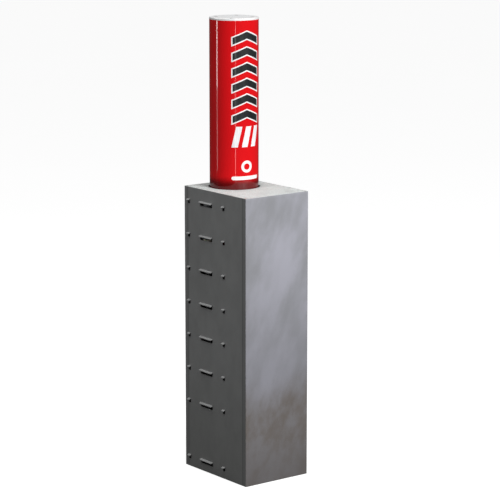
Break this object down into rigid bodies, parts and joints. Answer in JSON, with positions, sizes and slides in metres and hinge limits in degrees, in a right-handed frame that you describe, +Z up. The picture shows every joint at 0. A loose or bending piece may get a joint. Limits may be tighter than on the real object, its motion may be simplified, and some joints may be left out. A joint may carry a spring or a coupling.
{
  "type": "retractable bollard",
  "caption": "Hydraulic retractable bollard: a red steel cylinder rising through the top plate of a tall buried sheet-steel casing.",
  "frame": {"origin": "centre of the casing's underside", "axes": "+Z up along the cylinder's travel, -Y out of the long face with the bent tabs, +X towards the drive chamber"},
  "size_m": [0.42, 0.342, 1.9],
  "materials": {
    "galvanised_sheet": "matt cold-rolled sheet with a hot-dip bloom",
    "tread_plate": "fine non-slip texture, light",
    "zinc_screws": "zinc plated",
    "plate_steel": "mill finish",
    "black_rubber": "matt",
    "bush_polymer": "natural acetal",
    "ground_steel": "ground and hard chromed",
    "barrel_paint": "semi-gloss black",
    "red_paint": "gloss red",
    "cap_metal": "satin brushed",
    "tank_paint": "semi-gloss grey blue",
    "motor_alloy": "die cast",
    "lamination": "varnished laminations",
    "coil_plastic": "moulded",
    "lever_paint": "orange, baked",
    "hose_rubber": "cloth-marked rubber",
    "sensor_brass": "nickelled brass",
    "box_plastic": "light grey",
    "gland_plastic": "black"
  },
  "bodies": {
    "casing": {"casing_front_panel": "galvanised_sheet", "casing_rear_panel": "galvanised_sheet", "duct_plate": "galvanised_sheet", "base_plate": "plate_steel", "rim_frame": "plate_steel", "top_plate": "tread_plate", "top_plate_screws": "zinc_screws", "guide_head": "plate_steel", "guide_sleeve": "plate_steel", "guide_bush_upper": "bush_polymer", "guide_bush_lower": "bush_polymer", "wiper_seal": "black_rubber", "guide_rail_front": "ground_steel", "guide_rail_rear": "ground_steel", "stop_tubes": "plate_steel", "top_buffers": "black_rubber", "buffer_posts": "plate_steel", "bottom_buffers": "black_rubber", "ram_pedestal": "plate_steel", "ram_pin": "zinc_screws", "ram_end_cap": "barrel_paint", "ram_barrel": "barrel_paint", "ram_gland": "zinc_screws", "pack_bracket": "plate_steel", "oil_tank": "tank_paint", "tank_lid": "tank_paint", "lid_screws": "zinc_screws", "filler_cap": "gland_plastic", "pump_body": "motor_alloy", "suction_strainer": "zinc_screws", "bell_housing": "motor_alloy", "motor_housing": "motor_alloy", "motor_stator": "lamination", "motor_bearings": "ground_steel", "motor_end_cover": "motor_alloy", "valve_block": "motor_alloy", "solenoid_valve": "coil_plastic", "hydraulic_hose": "hose_rubber", "hose_elbows": "zinc_screws", "sensor_rail": "plate_steel", "limit_sensors": "sensor_brass", "terminal_box": "box_plastic", "terminal_box_lid": "box_plastic", "terminal_box_screws": "zinc_screws", "cable_glands": "gland_plastic", "conduit_socket": "plate_steel", "drain_socket": "plate_steel"},
    "bollard": {"bollard_tube": "red_paint", "bollard_cap": "cap_metal", "cap_screws": "zinc_screws", "rod_anchor": "plate_steel", "rod_nut": "zinc_screws", "ram_rod": "ground_steel", "ram_piston": "motor_alloy", "carriage": "plate_steel", "carriage_screws": "zinc_screws", "guide_shoe_front": "bush_polymer", "guide_shoe_rear": "bush_polymer"},
    "rotor": {"motor_rotor": "lamination"},
    "lever": {"release_lever": "lever_paint"}
  },
  "joints": [
    {"name": "bollard_slide", "type": "slide", "parent": "casing", "child": "bollard", "axis": [0, 0, 1], "range_m": [-0.7, 0]},
    {"name": "rotor_spin", "type": "hinge", "parent": "casing", "child": "rotor", "pos_m": [0.131, 0.04, 0.8], "axis": [0, 0, 1], "continuous": true},
    {"name": "release_lever_turn", "type": "hinge", "parent": "casing", "child": "lever", "pos_m": [0.105, -0.06, 0.704], "axis": [1, 0, 0], "range_deg": [0, 90]}
  ]
}
